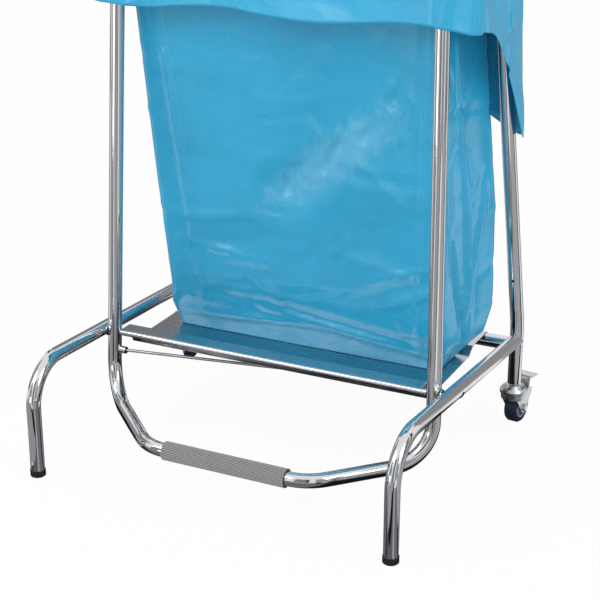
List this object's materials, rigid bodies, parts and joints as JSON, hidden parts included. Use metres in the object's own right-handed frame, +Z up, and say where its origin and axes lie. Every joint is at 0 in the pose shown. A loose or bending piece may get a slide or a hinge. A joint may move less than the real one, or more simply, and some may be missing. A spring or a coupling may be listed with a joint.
{
  "type": "pedal bin bag holder",
  "caption": "Bent-tube bin bag holder: a ribbed pedal rocks the front hoop forward to open the bag; sheet tray, rubber-capped feet and braked castors.",
  "frame": {"origin": "middle of the floor area that the whole stand covers, at floor level", "axes": "+X to the user's right, +Y from the pedal to the castors, +Z up"},
  "size_m": [0.7718, 0.6308, 0.9148],
  "materials": {
    "chromed_tube": "polished chrome plate",
    "polished_sheet": "satin polished sheet",
    "bright_steel": "bright drawn steel",
    "zinc_steel": "bright zinc plate",
    "black_steel": "blackened",
    "grey_grip": "ribbed matte",
    "black_plastic": "moulded",
    "black_rubber": "matte",
    "navy_tyre": "smooth satin",
    "grey_plastic": "moulded",
    "blue_film": "glossy polythene film"
  },
  "bodies": {
    "frame": {"axle_collar": "bright_steel", "bag": "blue_film", "castor_race_left": "zinc_steel", "castor_race_right": "zinc_steel", "castor_stem_left": "zinc_steel", "castor_stem_right": "zinc_steel", "foot_cap_left": "black_plastic", "foot_cap_right": "black_plastic", "pivot_axle": "bright_steel", "pivot_washer_left": "bright_steel", "pivot_washer_right": "bright_steel", "rail_left": "chromed_tube", "rail_right": "chromed_tube", "rail_stop_left": "black_rubber", "rail_stop_right": "black_rubber", "rear_cross_tube": "chromed_tube", "rear_hoop": "chromed_tube", "rear_hoop_screw_left": "black_steel", "rear_hoop_screw_right": "black_steel", "rear_leg_left": "chromed_tube", "rear_leg_right": "chromed_tube", "rod_anchor": "bright_steel", "tray": "polished_sheet"},
    "rocker": {"pedal_tube": "chromed_tube", "front_hoop": "chromed_tube", "pedal_grip": "grey_grip", "rod_eye": "bright_steel", "front_hoop_screw_left": "black_steel", "front_hoop_screw_right": "black_steel"},
    "return_rod": {"spring_rod": "bright_steel"},
    "castor_left": {"castor_fork_left": "zinc_steel", "castor_axle_left": "zinc_steel", "brake_pin_left": "zinc_steel"},
    "wheel_left": {"castor_core_left": "grey_plastic", "castor_tyre_left": "navy_tyre"},
    "brake_left": {"castor_brake_left": "zinc_steel"},
    "castor_right": {"castor_fork_right": "zinc_steel", "castor_axle_right": "zinc_steel", "brake_pin_right": "zinc_steel"},
    "wheel_right": {"castor_core_right": "grey_plastic", "castor_tyre_right": "navy_tyre"},
    "brake_right": {"castor_brake_right": "zinc_steel"}
  },
  "joints": [
    {"name": "pedal_rock", "type": "hinge", "parent": "frame", "child": "rocker", "pos_m": [0.01207, -0.07282, 0.19], "axis": [1, 0, 0], "range_deg": [0, 14], "stiffness_Nm_per_rad": 9, "springref_deg": -17.19, "deforming": ["bag"]},
    {"name": "rod_swing", "type": "hinge", "parent": "frame", "child": "return_rod", "pos_m": [0.21207, 0.03318, 0.1467], "axis": [0, 0, 1], "range_deg": [-1, 0]},
    {"name": "castor_swivel_left", "type": "hinge", "parent": "frame", "child": "castor_left", "pos_m": [-0.33281, 0.25518, 0.064], "axis": [0, 0, 1], "continuous": true},
    {"name": "wheel_spin_left", "type": "hinge", "parent": "castor_left", "child": "wheel_left", "pos_m": [-0.34266, 0.26778, 0.03], "axis": [0.788, 0.6157, 0], "continuous": true},
    {"name": "brake_press_left", "type": "hinge", "parent": "castor_left", "child": "brake_left", "pos_m": [-0.35744, 0.2867, 0.056], "axis": [0.788, 0.6157, 0], "range_deg": [-10, 0]},
    {"name": "castor_swivel_right", "type": "hinge", "parent": "frame", "child": "castor_right", "pos_m": [0.35695, 0.25518, 0.064], "axis": [0, 0, 1], "continuous": true},
    {"name": "wheel_spin_right", "type": "hinge", "parent": "castor_right", "child": "wheel_right", "pos_m": [0.3589, 0.27106, 0.03], "axis": [0.9925, -0.1219, 0], "continuous": true},
    {"name": "brake_press_right", "type": "hinge", "parent": "castor_right", "child": "brake_right", "pos_m": [0.36183, 0.29488, 0.056], "axis": [0.9925, -0.1219, 0], "range_deg": [-10, 0]}
  ],
  "couplings": [
    {"joint": "rod_swing", "follows": "pedal_rock", "ratio": -0.067}
  ]
}
